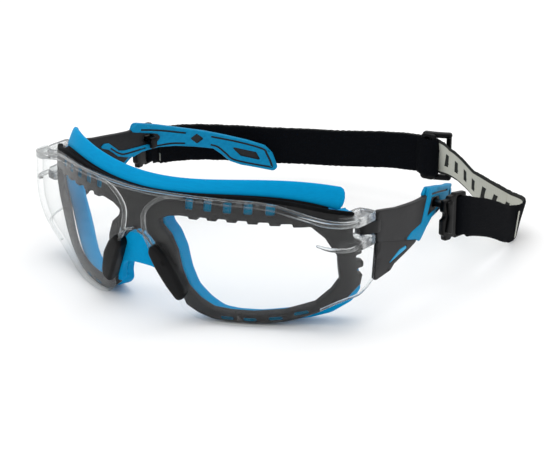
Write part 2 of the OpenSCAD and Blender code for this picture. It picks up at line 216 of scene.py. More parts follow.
def moulded(name, outline, place, top, bottom, finishes, holes=(), sunk=(), sunk_back=(), soft=0.4,
            corner=1.2, grid=2.6, steps=3, step=0.8):
    """A moulded wall between two depths, with rounded edges, through holes and shallow pockets. place
    turns the wall's two directions and a depth into a point. A pocket is an outline, a depth and a
    finish number. soft is the radius of the edges and corner that of the outline's corners."""
    points, faces, marks = [], [], []

    def ring(loop, depth):
        points.extend(place(u, v, depth) for u, v in loop)
        return list(range(len(points) - len(loop), len(points)))

    def wall(a, b, mark=0):
        for i in range(len(a)):
            j = (i + 1) % len(a)
            faces.append((a[i], a[j], b[j], b[i]))
            marks.append(mark)

    def fill(loops, rings, depth, mark=0):
        flat = np.concatenate(loops)
        ids = [k for r in rings for k in r]
        edges, first = [], 0
        for loop in loops:
            edges += [(first + i, first + (i + 1) % len(loop)) for i in range(len(loop))]
            first += len(loop)
        low, high = flat.min(0), flat.max(0)
        rows = np.arange(low[1] + grid / 2, high[1], grid * 0.87)
        seeds = np.array([(x + (grid / 2 if k % 2 else 0), y) for k, y in enumerate(rows)
                          for x in np.arange(low[0] + grid / 2, high[0], grid)]).reshape(-1, 2)
        if len(seeds):
            seeds = seeds[within(seeds, loops)]
        if len(seeds):
            gap = np.array([np.min(np.hypot(*(flat - s).T)) for s in seeds])
            seeds = seeds[gap > 0.55 * grid]
        co, _, tris, source, _, _ = delaunay_2d_cdt(
            [Vector(p) for p in flat] + [Vector(p) for p in seeds], edges, [], 0, 1e-5, True)
        number = []
        for c, s in zip(co, source):
            if s and s[0] < len(ids):
                number.append(ids[s[0]])
            else:
                points.append(place(c.x, c.y, depth))
                number.append(len(points) - 1)
        middle = np.array([sum((co[k] for k in t), Vector((0, 0))) / len(t) for t in tris])
        for t, keep in zip(tris, within(middle, loops)):
            if keep:
                faces.append(tuple(number[k] for k in t))
                marks.append(mark)

    faces_of = {top: [], bottom: []}
    for n, loop in enumerate([outline, *holes]):
        loop = turned(rounded(loop, corner, step), -1 if n else 1)
        last = None
        for depth, way in ((top, 1), (bottom, -1)):
            arcs = [k / steps * math.pi / 2 for k in range(steps + 1)]
            for a in arcs if way < 0 else reversed(arcs):
                line = inset(loop, soft * (1 - math.cos(a)))
                here = ring(line, depth + way * soft * (1 - math.sin(a)))
                if last:
                    wall(last, here)
                if a == arcs[-1]:
                    faces_of[depth].append((line, here))
                last = here
    for depth, way, pockets in ((top, 1, sunk), (bottom, -1, sunk_back)):
        for loop, deep, mark in pockets:
            lip = min(0.12, abs(deep) / 3)
            loop = turned(rounded(loop, min(corner, 0.6), step), -1)
            line = inset(loop, lip)
            a, b = ring(line, depth), ring(loop, depth + way * math.copysign(lip, deep))
            floor = ring(loop, depth + way * deep)
            wall(a, b)
            wall(b, floor, mark)
            faces_of[depth].append((line, a))
            same = turned(loop, 1) is loop
            fill([turned(loop, 1)], [floor if same else floor[::-1]], depth + way * deep, mark)
        loops, rings = zip(*faces_of[depth])
        fill(list(loops), list(rings), depth)
    return make_piece(name, points, faces, marks, finishes)


def dome(face):
    """Places x, z and a depth on the lens's sphere, true to x and z at the depth of this face."""
    def place(x, z, depth):
        x, z = x / (lens_r - face), (z - lens_centre[2]) / (lens_r - face)
        y = -math.sqrt(max(0.02, 1 - x * x - z * z))
        return lens_centre + (lens_r - depth) * np.array([x, y, z])
    return place


def bead(name, path, out, wide, high, finishes, around=12, square=1, tip=None):
    """A bar along a path, oval in section, or squarer with square under 1. out is the way its height
    points, and its ends are rounded over the length tip."""
    p = np.array(path, float)
    n = len(p)
    wide, high = (np.full(n, v, float) if np.isscalar(v) else np.array(v, float) for v in (wide, high))
    along = np.gradient(p, axis=0)
    along /= np.linalg.norm(along, axis=1)[:, None]
    out = np.array([out(q) for q in p]) if callable(out) else np.broadcast_to(out, (n, 3))
    side = np.cross(along, out)
    side /= np.linalg.norm(side, axis=1)[:, None]
    up = np.cross(side, along)
    points, faces = [], []
    stations = [(0, -k, math.sqrt(max(0, 1 - k * k))) for k in (0.98, 0.8, 0.5)]
    stations += [(i, 0, 1) for i in range(n)]
    stations += [(n - 1, k, math.sqrt(max(0, 1 - k * k))) for k in (0.5, 0.8, 0.98)]
    for i, push, size in stations:
        centre = p[i] + along[i] * push * (tip or min(wide[i], high[i]) / 2)
        for k in range(around):
            a = 2 * math.pi * (k + 0.5) / around
            c, s = (math.copysign(abs(v) ** square, v) / 2 for v in (math.cos(a), math.sin(a)))
            points.append(centre + size * (side[i] * c * wide[i] + up[i] * s * high[i]))
    for s in range(len(stations) - 1):
        for k in range(around):
            a, b = s * around + k, s * around + (k + 1) % around
            faces.append((a, b, b + around, a + around))
    faces += [tuple(range(around)), tuple(range(len(points) - around, len(points)))]
    return make_piece(name, points, faces, [0] * len(faces), finishes, crease=60)


def curve_through(marks, n):
    """A smooth run of n points through the marks."""
    m = np.array(marks, float)
    m = np.vstack([2 * m[0] - m[1], m, 2 * m[-1] - m[-2]])
    out = []
    for t in np.linspace(0, len(m) - 3 - 1e-9, n):
        i = int(t)
        t -= i
        a, b, c, d = m[i:i + 4]
        out.append(0.5 * (2 * b + (c - a) * t + (2 * a - 5 * b + 4 * c - d) * t * t
                          + (3 * b - a - 3 * c + d) * t ** 3))
    return np.array(out)


def uneven(tree, shader, height, strength, distance):
    """Bumps a shader's surface by this height, up to a distance in metres."""
    bump = tree.nodes.new("ShaderNodeBump")
    bump.inputs["Strength"].default_value = strength
    bump.inputs["Distance"].default_value = distance
    tree.links.new(height, bump.inputs["Height"])
    tree.links.new(bump.outputs[0], shader.inputs["Normal"])


def noise(tree, lumps, detail=2):
    """The value of a noise texture with this many lumps along the piece's own box."""
    node = tree.nodes.new("ShaderNodeTexNoise")
    node.inputs["Scale"].default_value = lumps
    node.inputs["Detail"].default_value = detail
    return node.outputs["Fac"]


def clear_finish(name, tint, edge_tint, least, most, rough):
    """Thin clear plastic, which lets light straight through. Towards its edges it takes the edge tint,
    and its shine grows from least to most."""
    material = bpy.data.materials.new(name)
    material.use_nodes = True
    tree = material.node_tree
    tree.nodes.clear()
    make, link = tree.nodes.new, tree.links.new
    through, shine, mix, end = (make("ShaderNodeBsdfTransparent"), make("ShaderNodeBsdfGlossy"),
                                make("ShaderNodeMixShader"), make("ShaderNodeOutputMaterial"))
    shine.inputs["Color"].default_value = (1, 1, 1, 1)
    shine.inputs["Roughness"].default_value = rough
    facing, power = make("ShaderNodeLayerWeight"), make("ShaderNodeMath")
    scale, darker = make("ShaderNodeMapRange"), make("ShaderNodeMix")
    facing.inputs["Blend"].default_value = 0.5
    power.operation = "POWER"
    power.inputs[1].default_value = 4
    scale.inputs["To Min"].default_value = least
    scale.inputs["To Max"].default_value = most
    link(facing.outputs["Facing"], power.inputs[0])
    darker.data_type = "RGBA"
    darker.inputs["A"].default_value, darker.inputs["B"].default_value = tint, edge_tint
    link(power.outputs[0], darker.inputs["Factor"])
    link(darker.outputs["Result"], through.inputs["Color"])
    link(power.outputs[0], scale.inputs["Value"])
    link(scale.outputs[0], mix.inputs[0])
    link(through.outputs[0], mix.inputs[1])
    link(shine.outputs[0], mix.inputs[2])
    uneven(tree, shine, noise(tree, 60), 0.06, 0.001)
    link(mix.outputs[0], end.inputs["Surface"])
    return material


def thick_clear_finish(name, colour, rough):
    """Solid clear plastic. It bends the view through it, and the light that falls on other surfaces
    goes straight through."""
    material, tree, shader = finish_named(name, colour, rough)
    shader.inputs["Transmission Weight"].default_value = 1
    shader.inputs["IOR"].default_value = 1.45
    uneven(tree, shader, noise(tree, 220), 0.15, 0.0006)
    make, link = tree.nodes.new, tree.links.new
    path, through = make("ShaderNodeLightPath"), make("ShaderNodeBsdfTransparent")
    mix, either = make("ShaderNodeMixShader"), make("ShaderNodeMath")
    either.operation = "MAXIMUM"
    link(path.outputs["Is Shadow Ray"], either.inputs[0])
    link(path.outputs["Is Diffuse Ray"], either.inputs[1])
    link(either.outputs[0], mix.inputs[0])
    link(shader.outputs[0], mix.inputs[1])
    link(through.outputs[0], mix.inputs[2])
    link(mix.outputs[0], tree.nodes["Material Output"].inputs["Surface"])
    return material


clear = clear_finish("lens_clear", (0.985, 0.988, 0.988, 1), (0.72, 0.74, 0.74, 1), 0.012, 0.3,
                     0.17)
thick_clear = thick_clear_finish("lens_clear_thick", (0.9, 0.92, 0.92, 1), 0.09)
turn_at = curve_through(side_turn, 60)
turn_run = side_turn[0][0] + np.concatenate([[0], np.cumsum(np.hypot(*np.diff(turn_at, axis=0).T))])


def lens_face(run, z):
    """A point of the lens's outer face: a sphere in front that turns into a flat wing at each side.
    run is the way from the middle line along the face, and z the height."""
    way, run = math.copysign(1, run), abs(run)
    drop = z - lens_centre[2]
    if run <= turn_run[0]:
        return np.array([way * run, lens_centre[1] - math.sqrt(lens_r ** 2 - run ** 2 - drop ** 2), z])
    x, y = np.interp(run, turn_run, turn_at[:, 0]), np.interp(run, turn_run, turn_at[:, 1])
    ease = min(1, (run - turn_run[0]) / 18)
    inner = min(x, 60)
    level = math.sqrt(lens_r ** 2 - inner ** 2)
    y += (lens_centre[1] - math.sqrt(lens_r ** 2 - turn_run[0] ** 2) - side_turn[0][1]) * (1 - ease)
    low = max(0, min(1, (26 - z) / 22)) ** 2 * 5 * ease * max(0, min(1, (88 - run) / 14))
    back = (level - math.sqrt(level ** 2 - drop ** 2)) * max(0, min(1, (90 - run) / 16))
    return np.array([way * x, y + back + low, z])


def on_lens(run, z, depth):
    """A point below the lens's outer face, straight in from it."""
    here = lens_face(run, z)
    if depth == 0:
        return here
    near = 0.4
    side = lens_face(run + near, z) - lens_face(run - near, z)
    up = lens_face(run, z + near) - lens_face(run, z - near)
    inward = np.cross(up, side)
    return here + inward / np.linalg.norm(inward) * depth


def away_from_centre(q):
    """The way out of the lens's sphere at a point."""
    return (q - lens_centre) / np.linalg.norm(q - lens_centre)


lens = moulded("lens_sheet", mirrored(lens_top + lens_low + nose_edge[::-1]), on_lens, 0, lens_t,
               [clear], soft=0.5, corner=9, grid=3)
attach(lens, "front")

brow_line = [[-x, z - 0.4] for x, z in lens_top[:0:-1]] + [[0, 46.7]]
brow_line += [[-x, z] for x, z in brow_line[-2::-1]]
lens_parts = []


def clear_bead(name, line, depth, wide, high, side=1, around=12):
    """A bar of thick clear plastic along a line on the lens's face, mirrored for the right side."""
    lens_parts.append(bead(name, [on_lens(side * x, z, depth) for x, z in line], away_from_centre,
                           wide, high, [thick_clear], around))


line = curve_through(brow_line, 90)
step_drop = np.interp(np.abs(line[:, 0]), [0, 12, 50, 80], [0.8, 1.3, 1.9, 1.2])
clear_bead("lens_brow_bead", line, 0.2, 0.9, 1.2)
clear_bead("lens_brow_step", [(x, z - d) for (x, z), d in zip(line, step_drop)], 0.1, 0.45, 0.5,
           around=8)
for side, word in ((1, "left"), (-1, "right")):
    clear_bead("lens_rim_" + word, curve_through(lens_low[3:9], 30) + (0, 0.1), 1, 0.35, 1.2, side, 8)
nose_rib = [[19, 46.4], [12.5, 45.6], [7.4, 42.8], [4.4, 39], [4.2, 35], [5.2, 30.8], [6.9, 27],
            [8.6, 23.4]]
arm_line = [[1.6, 31.9], [4.9, 30.6], [7.9, 27.2], [10.4, 21.8], [12.9, 15.9], [15.6, 10.4]]
rib_size = np.interp(np.linspace(0, 1, 34), [0, 0.2, 0.8, 1], [0.5, 1.5, 1.7, 1.2])
for side, word in ((1, "left"), (-1, "right")):
    clear_bead("lens_nose_rib_" + word, curve_through(nose_rib, 34), 0.1, rib_size, rib_size * 1.1, side)
    clear_bead("lens_nose_arm_" + word, curve_through(arm_line, 30), 1, 1.1, 2.4, side)

# Hinge lugs: clear plastic moulded in one with the lens. Each lug has two leaves, which hold a
# pressed-in steel pin, and two ribs that run forward on the lens.
hinge_x, hinge_y = 65.5, 41
pin_d = 1.8
leaf_t = 3.6
lug_low, lug_high = 29, 41
leaf = [[62.5, 41], [62, 34], [62, 31], [64, 29.2], [67.6, 30.2], [69.6, 33], [69.9, 36], [69.9, 43.4],
        [66, 43.4], [63.4, 43]]
root_high = [[56, 42.6], [60.5, 41.6], [65, 40.6], [70, 40], [75, 39.6], [79, 39.5]]
root_low = [[63, 33.2], [66.5, 32.2], [70, 31.6], [75, 31], [79, 30.9]]
pin_finish, tree, shader = finish_named("pin_steel", linear(170, 172, 176), 0.25)
shader.inputs["Metallic"].default_value = 1


def level(side):
    """Places x, y and a height as they are, or mirrored for the right side."""
    return lambda x, y, z: (side * x, y, z)


for side, word in ((1, "left"), (-1, "right")):
    for end, low in (("low", lug_low), ("high", lug_high - leaf_t)):
        lens_parts.append(moulded(f"lug_leaf_{end}_{word}", leaf, level(side), low + 0.1, low + leaf_t,
                                  [thick_clear], soft=0.6, corner=1.6, grid=2))
    for end, marks, size in (("high", root_high, 2), ("low", root_low, 1.8)):
        width = np.interp(np.linspace(0, 1, 16), [0, 0.3, 1], [0.8, size * 0.8, size])
        clear_bead(f"lug_root_{end}_{word}", curve_through(marks, 16), 0.9, width, width * 0.8, side)
    line = [(side * hinge_x, hinge_y, z) for z in np.linspace(lug_low + 0.6, lug_high - 0.6, 6)]
    pin = bead("hinge_pin_steel_" + word, line, (0, 1, 0), pin_d, pin_d, [pin_finish], around=20)
    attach(pin, "front")
    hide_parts("hinge_pin_" + word)
for part in lens_parts:
    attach(part, "front")
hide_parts("lens")

# Gasket frame: a dark grey moulding clipped behind the lens. Each eye opening has a stepped upper edge,
# and vents above and below it, drawn as shallow pockets whose blue floor stands for the seal behind,
# in a darker blue than the seal's own: painted shade inside the vents.
# A lip and a shelf reach back from the lens's brow to the soft flange. Both take a darker copy of the
# gasket's grey, painted shade for the flange's shadow over them.
gasket_in = lens_t + 0.2
gasket_t = 2.8
frame_top = [[0, 45.9], [15, 46.5], [30, 47.2], [38, 47.2], [45, 46.7], [50, 45.9], [54, 44.9],
             [59.5, 43.2], [66, 41.4]]
frame_low = [[66.4, 40.4], [66.4, 34], [67.6, 30], [68.2, 28.6], [68.3, 27], [67, 26.6], [67, 24.8],
             [68.5, 24.4], [68.4, 22], [67, 21.6], [67, 19.6], [68, 19.2], [67.2, 15.4], [63.6, 10.2],
             [59.5, 7.2], [55.8, 5], [51, 2.9], [46.2, 1.4], [41.6, 0.7], [37.3, 0.45], [28.5, 0.45],
             [24, 0.9], [19.4, 2.8], [15.6, 5.6]]
eye_rim = [[56.4, 37.8], [60, 33.6], [63, 26.6], [62.9, 17.6], [60.6, 13.6], [56, 8.6], [47.4, 5.4],
           [38, 4.2], [30.6, 4.2], [25, 4.8], [20.8, 7.8], [17.4, 12.4], [15.8, 18.4], [14.9, 26],
           [12.6, 31.6], [9.2, 34.6], [8.6, 36.6], [12, 38.4]]
vent_deep = 1.1
step_pitch, step_w, step_h = 3.2, 3.1, 0.9
eye_steps = []
for k in range(12):
    x = 16.6 + step_pitch * k
    z = 39.6 - 0.0022 * (x - 30) ** 2 - (step_h if k % 2 else 0)
    eye_steps += [[x, z], [x + step_w, z]]


def moulded_finish(name, colour, light, rough, grain, depth, gleam=0.3):
    """A moulding's finish: fine grain, soft patches of a lighter colour, and an uneven gloss. The grain
    is in thousandths of the piece's own box, and its depth in millimetres."""
    material, tree, shader = finish_named(name, linear(*colour), rough)
    fine = noise(tree, 1000 / grain, 3)
    uneven(tree, shader, fine, 0.15, depth * MM)
    tint, gloss = tree.nodes.new("ShaderNodeValToRGB"), tree.nodes.new("ShaderNodeMapRange")
    dull, pale = tint.color_ramp.elements
    dull.position, pale.position = 0.35, 0.75
    dull.color, pale.color = linear(*colour), linear(*light)
    tree.links.new(noise(tree, 25, 5), tint.inputs[0])
    tree.links.new(tint.outputs[0], shader.inputs["Base Color"])
    gloss.inputs["To Min"].default_value = rough - 0.07
    gloss.inputs["To Max"].default_value = rough + 0.1
    tree.links.new(fine, gloss.inputs["Value"])
    tree.links.new(gloss.outputs[0], shader.inputs["Roughness"])
    shader.inputs["Specular IOR Level"].default_value = gleam
    return material


gasket_finish = moulded_finish("gasket_grey", (24, 24, 25), (30, 30, 31), 0.42, 0.12, 0.01, 0.22)
# Painted shade: the vent floor is the seal's blue made darker, for the shade inside the vents.
vent_blue_painted_shade = moulded_finish("vent_blue_painted_shade", (0, 104, 138), (0, 126, 160), 0.6, 0.18, 0.01, 0.05)
# Painted shade: a darker copy of the gasket grey for the lip and shelf, as if shaded by the flange.
shelf_painted_shade = moulded_finish("gasket_shade", (14, 15, 16), (20, 20, 22), 0.7, 0.12, 0.01, 0.03)
on_gasket = dome(gasket_in)


def vent(x, low, high, wide, lean=0):
    """The outline of a vent at x. lean is how much higher it is at its outer end."""
    return [[x - wide / 2, low - lean / 2], [x + wide / 2, low + lean / 2],
            [x + wide / 2, high + lean / 2], [x - wide / 2, high - lean / 2]]


vents = [vent(x, 41.9, 45.5, 2.6) for x in (19.8, 26.2, 32.6, 39, 45.4)]
vents += [vent(x, z - 0.2, z + 1, 4, lean)
          for x, z, lean in ((29.2, 1.7, 0), (36.4, 1.7, 0.1), (44.2, 2.6, 0.5), (51.6, 4.9, 1))]
eyes = [[[side * x, z] for x, z in eye_steps + eye_rim] for side in (1, -1)]
vent_pockets = [([[side * x, z] for x, z in loop], vent_deep, 1) for side in (1, -1) for loop in vents]
gasket = moulded("gasket_ring", mirrored(frame_top + frame_low + nose_edge[::-1]), on_gasket, gasket_in,
                 gasket_in + gasket_t, [gasket_finish, vent_blue_painted_shade], holes=eyes, sunk=vent_pockets,
                 soft=0.45, corner=1.1, grid=3)
line = curve_through([[-x, z] for x, z in frame_top[:0:-1]] + frame_top, 90)
# The lip takes the darker grey of painted shade.
gasket_lip = bead("gasket_lip", [on_gasket(x, z - 0.2, gasket_in + 0.9) for x, z in line],
                  away_from_centre, 1.5, 2, [shelf_painted_shade], square=0.6, around=16)


def brow_edge(s2):
    """How far back and how high the flange's lower edge is, by its squared share of the way out."""
    return 6.2 + 23.3 * s2 + 3.6 * s2 ** 2, 46.1 + 8.6 * s2 - 12.3 * s2 ** 2


shelf_half = 58
flange_half = round(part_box("brow_flange")[1].x / MM, 1)
shelf = []
for x in np.linspace(-shelf_half, shelf_half, 81):
    back, height = brow_edge((x / flange_half) ** 2)
    front = on_gasket(x, np.interp(abs(x), *zip(*frame_top)) - 1, gasket_in + 1.6)
    rear = np.array([x, back + 0.7, height - 0.2])
    middle = (front + rear) / 2 + np.array([0, 0, 0.3])
    shelf.append([front, middle, rear, rear - (0, 0, 1), middle - (0, 0, 1.1), front - (0, 0, 1)])
sides = len(shelf[0])
shelf_faces = [(i + k, i + (k + 1) % sides, i + sides + (k + 1) % sides, i + sides + k)
               for i in range(0, (len(shelf) - 1) * sides, sides) for k in range(sides)]
shelf_faces += [tuple(range(sides)), tuple(range((len(shelf) - 1) * sides, len(shelf) * sides))]
gasket_shelf = make_piece("gasket_shelf", [p for ring in shelf for p in ring], shelf_faces,
                          [0] * len(shelf_faces), [shelf_painted_shade])
for part in (gasket, gasket_lip, gasket_shelf):
    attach(part, "front")
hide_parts("gasket_frame")

# Face seal: one soft blue moulding behind the gasket. A thick rounded wall stands round each eye and
# meets the face, and a thinner curtain hangs over the nose, behind the nose arms.
seal_in = gasket_in + gasket_t + 0.2
seal_depth = 6.2
curtain_t = 1.2
seal_top = [[x, z - 1.7] for x, z in frame_top]
seal_low = [[59, 39.4], [62, 34.4], [63.6, 30], [65.4, 24], [65.6, 17], [65, 12], [62.5, 7.4],
            [57, 3.2], [51, 1.4], [45, 0.7], [38.5, 0.5], [31, 0.5], [24.4, 0.9], [19.4, 2.8],
            [15.8, 5.6]]
seal_eye = [[15, 38.4], [28, 39.2], [40, 39], [50, 38], [56, 36.6], [59.6, 32], [61.4, 28.4],
            [62.8, 22.6], [62.9, 16], [60.6, 11.6], [56, 7.2], [47.4, 4.1], [38, 2.9], [30.6, 2.9],
            [25.4, 3.6], [21.2, 7], [17.6, 11.6], [15.9, 18], [14.8, 26], [12.4, 31.4], [9.4, 34.4],
            [9, 36.4], [12, 38]]
curtain = [[0, 33], [6, 33], [8, 31], [8.6, 27], [8.4, 22], [11.4, 15], [14.8, 9.4], [13.6, 7.2],
           [12.9, 8.4], [11.9, 12], [10.3, 15.2], [7.4, 17.1], [3.6, 17.9], [0, 18]]
soft_blue = moulded_finish("seal_blue", (0, 138, 192), (0, 146, 200), 0.6, 0.14, 0.01, 0.04)
shader = soft_blue.node_tree.nodes["Principled BSDF"]
shader.inputs["Subsurface Weight"].default_value = 0.12
shader.inputs["Subsurface Radius"].default_value = (0.2, 0.6, 1)
shader.inputs["Subsurface Scale"].default_value = 0.002
on_seal_face = dome(seal_in)


def on_seal(x, z, depth):
    """Places a point of the seal's wall, which keeps its height as it goes back."""
    at = on_seal_face(x, z, depth)
    return (at[0], at[1], z)


face_seal = moulded("seal_wall", mirrored(seal_top + seal_low + nose_edge[::-1]), on_seal, seal_in,
                    seal_in + seal_depth, [soft_blue], soft=0.9, corner=5, grid=3, steps=4,
                    holes=[[[side * x, z] for x, z in seal_eye] for side in (1, -1)])
nose_curtain = moulded("nose_curtain", mirrored(curtain), dome(gasket_in + 0.4), gasket_in + 0.4,
                       seal_in + curtain_t, [soft_blue], soft=1.1, corner=3, grid=1.6, steps=4)
for part in (face_seal, nose_curtain):
    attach(part, "front")
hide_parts("face_seal")

# Brow flange: a soft blue lip moulded in one with the seal. It leans back over the top of the frame
# and closes the gap to the forehead. Its free edge is round, and it is thicker at its ends.
flange_t = 1.8
stations = np.linspace(-1, 1, 97)
s2 = stations ** 2
low = np.stack([flange_half * stations, *brow_edge(s2)], 1)
high = np.stack([flange_half * stations, 10.5 + 20.5 * s2 + 6.2 * s2 ** 2,
                 49.6 + 9.1 * s2 - 10 * s2 ** 2], 1)
rise = high - low
width = np.linalg.norm(rise, axis=1)
rise /= width[:, None]
behind = np.cross(np.gradient(low, axis=0), rise)
behind /= np.linalg.norm(behind, axis=1)[:, None]
behind *= np.sign(behind[:, 1])[:, None]
flange = bead("flange_lip", (low + high) / 2 + behind * flange_t / 2, rise, flange_t + 0.5 * s2,
              width + 0.4, [soft_blue], around=28, square=0.55, tip=2.2)
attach(flange, "front")
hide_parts("brow_flange")

# Nose pads: black soft rubber, pushed over the two nose arms. Each is a thick bar with round edges that
# reaches from in front of the lens back to the seal.
pad_outer = [[8.8, 28.4], [11.9, 25.6], [15.2, 20.6], [18, 13], [18.2, 10]]
pad_inner = [[15, 8], [11.8, 13.2], [8.5, 19.4], [6, 25], [6.6, 27.4]]
nose_rubber = moulded_finish("nose_rubber", (6, 6, 7), (10, 10, 12), 0.42, 0.14, 0.01, 0.14)
for side, word in ((1, "left"), (-1, "right")):
    pad = moulded("nose_pad_bar_" + word, [[side * x, z] for x, z in pad_outer + pad_inner], on_lens,
                  -1.3, seal_in - 0.3, [nose_rubber], soft=1.25, corner=2.6, grid=1.4, steps=5,
                  step=0.6)
    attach(pad, "front")
    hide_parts("nose_pad_" + word)

# Temples: hard dark grey nylon arms. Each starts in a knuckle on the hinge pin, runs straight back and
# then curves in behind the ear. A side shield of the same plastic hangs below its front half.
toe_r = 118
toe_start = 60
arm_t = 2.6
arm_front = 43.85
arm_side = [[arm_front, 29.2], [arm_front, 40.6], [57, 38], [70, 36.6], [76, 36.2], [80.5, 36.6],
            [92, 33.6], [92, 28.4], [81, 28], [75, 25.4], [71.8, 23.4], [69.8, 22]]
hook_slot = [[83.4, 29.8], [88, 29.8], [88, 32.8], [83.4, 32.8]]
shield_side = [[arm_front, 29.7], [42.4, 16.2], [44, 15.6], [52.6, 16.4], [55.1, 18.1], [69.2, 21.6],
               [70.2, 22.6]]
inlay_side = [[50.6, 19.2], [58.1, 22.5], [62.6, 22.8], [62.6, 21.6]]
knuckle = [[62.8, 41], [63.6, 39], [65.5, 38.3], [67.6, 39.1], [69.3, 42.2], [69.9, 43.9], [69.9, 46],
           [67.4, 46], [64.8, 43.8], [63.1, 42.6]]
temple_grey = moulded_finish("temple_grey", (24, 24, 26), (30, 30, 32), 0.42, 0.15, 0.012, 0.2)
inlay_blue = moulded_finish("inlay_blue", (20, 150, 200), (40, 162, 208), 0.4, 0.25, 0.012)


def on_arm(side):
    """Places y, z and a depth below the outer face of the temple on this side."""
    def place(y, z, depth):
        if y <= toe_start:
            return (side * (half_w - depth), y, z)
        turn = math.asin((y - toe_start) / toe_r)
        r = toe_r - depth
        return (side * (half_w - toe_r + r * math.cos(turn)), toe_start + r * math.sin(turn), z)
    return place


for side, word in ((1, "left"), (-1, "right")):
    place = on_arm(side)
    body = "temple_" + word
    arm = moulded("temple_arm_" + word, arm_side, place, 0.25, arm_t - 0.25, [temple_grey],
                  holes=[hook_slot], soft=0.55, corner=2, grid=3)
    collar = moulded("temple_knuckle_" + word, knuckle, level(side), lug_low + leaf_t + 0.2,
                     lug_high - leaf_t - 0.2, [temple_grey], soft=0.4, corner=2, grid=2)
    shield = moulded("shield_panel_" + word, shield_side, place, 0.15, 1.6, [temple_grey],
                     sunk=[(inlay_side, 0.7, 0)], soft=0.45, corner=1.6, grid=3)
    chip = turned(np.array(inlay_side), 1) * 0.94 + np.mean(inlay_side, 0) * 0.06
    inlay = moulded("inlay_chip_" + word, chip, place, 0.05, 0.8, [inlay_blue], soft=0.2, corner=0.5,
                    grid=2)
    for part, node in ((arm, "temple_core_"), (shield, "side_shield_"), (inlay, "shield_inlay_"),
                       (collar, None)):
        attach(part, body)
        if node:
            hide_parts(node + word)

# Temple grips: soft blue rubber moulded over the rear of each arm. Struts outside and a branch inside
# run forward round the strap clip's hook. Grooves, a window and a small diamond show the dark core.
grip_rear = [[79.4, 38.7], [81, 38.5], [91, 35.9], [101, 32.8], [111.4, 29.7], [119.7, 26.7],
             [128, 23.4], [134, 20.4], [136.2, 17.4], [138, 11], [136.7, 9.4], [130.6, 11.6],
             [125.2, 13.4], [121, 15.6], [118, 18.8], [114.6, 21.9], [107.5, 23.8], [98.4, 25.8],
             [90.7, 26.8], [81.8, 26.6], [80.2, 27.4], [81, 28.6], [90, 29.4], [91.4, 30.8],
             [90, 32.4], [82.4, 34.3], [80, 35.2]]
grip_struts = [[79, 38.6], [81.5, 38.2], [82, 35], [80.9, 33], [77.6, 28.4], [81.5, 28.8], [86.4, 28.8],
               [86.4, 26.9], [82.4, 26.8], [77.5, 24.6], [72, 21], [70.4, 22.4], [61.8, 24.8],
               [66, 26.6], [73.4, 27.6]]
grip_block = [[77.2, 36.9], [79.2, 38.3], [82, 38.3], [82, 34.4], [79.4, 35], [77.4, 35.6]]
grip_window = [[121.4, 21.8], [130.6, 18.3], [132.2, 14.6], [125, 17.4]]
groove_w = 0.7
grooves = [[[79.8, 36.1], [90.9, 33.7], [103, 30.4]], [[86.5, 27.6], [95.9, 27.3], [102.6, 26.2]],
           [[113.6, 27.2], [124.2, 23.4], [132.6, 19.6], [134.3, 17], [135.9, 11.9], [134.4, 11.7],
            [122.9, 15.9], [119.4, 19.2], [116.3, 22.4], [113.4, 23.8]]]
emblem_at = [107.7, 27.3]
branch_side = [[59.4, 33.4], [61.6, 34.6], [64.3, 34.2], [67.4, 31.8], [69.8, 29.9], [73, 29.2],
               [80, 29.1], [86, 29.2], [86, 26.9], [81.8, 26.7], [77.6, 25.6], [74, 26.2], [69.4, 27.6],
               [64.4, 31.4]]
branch_groove = [[65, 32], [70, 28.7], [74, 27.8], [84, 28]]


def stroke(path, width):
    """The outline of a line of even width along a path."""
    p = np.array(path, float)
    d = np.gradient(p, axis=0)
    n = np.stack([-d[:, 1], d[:, 0]], 1) / np.linalg.norm(d, axis=1)[:, None] * width / 2
    return np.concatenate([p + n, (p - n)[::-1]]).tolist()


diamond = [[emblem_at[0] + y, emblem_at[1] + z]
           for y, z in ((-2.9, 0.5), (0, 2.1), (2.9, -0.5), (0, -2.1))]
pockets = [(stroke(curve_through(g, 6 * len(g)), groove_w), 0.45, 1) for g in grooves]
pockets += [(grip_window, 0.8, 1), (diamond, 0.4, 1)]
grip_blue = moulded_finish("grip_blue", (0, 124, 170), (8, 136, 182), 0.5, 0.18, 0.01, 0.1)
core_dark = moulded_finish("core_dark", (18, 19, 22), (24, 26, 29), 0.45, 0.3, 0.012)
for side, word in ((1, "left"), (-1, "right")):
    place = on_arm(side)
    grip = moulded("grip_rubber_" + word, grip_rear, place, 0, arm_t, [grip_blue, core_dark],
                   sunk=pockets, sunk_back=pockets, soft=0.5, corner=1.8, grid=2.4)
    struts = moulded("grip_struts_" + word, grip_struts, place, -0.06, 1.2, [grip_blue], soft=0.45,
                     corner=1.4, grid=2.4)
    block = moulded("grip_block_" + word, grip_block, place, arm_t / 2, arm_t, [grip_blue], soft=0.45,
                    corner=1.4)
    groove = stroke(curve_through(branch_groove, 24), groove_w)
    branch = moulded("grip_branch_" + word, branch_side, place, arm_t - 0.5, arm_t + 0.3,
                     [grip_blue, core_dark], sunk_back=[(groove, 0.3, 1)], soft=0.3, corner=1, grid=2)
    for part in (grip, struts, block, branch):
        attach(part, "temple_" + word)
    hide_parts("temple_grip_" + word)

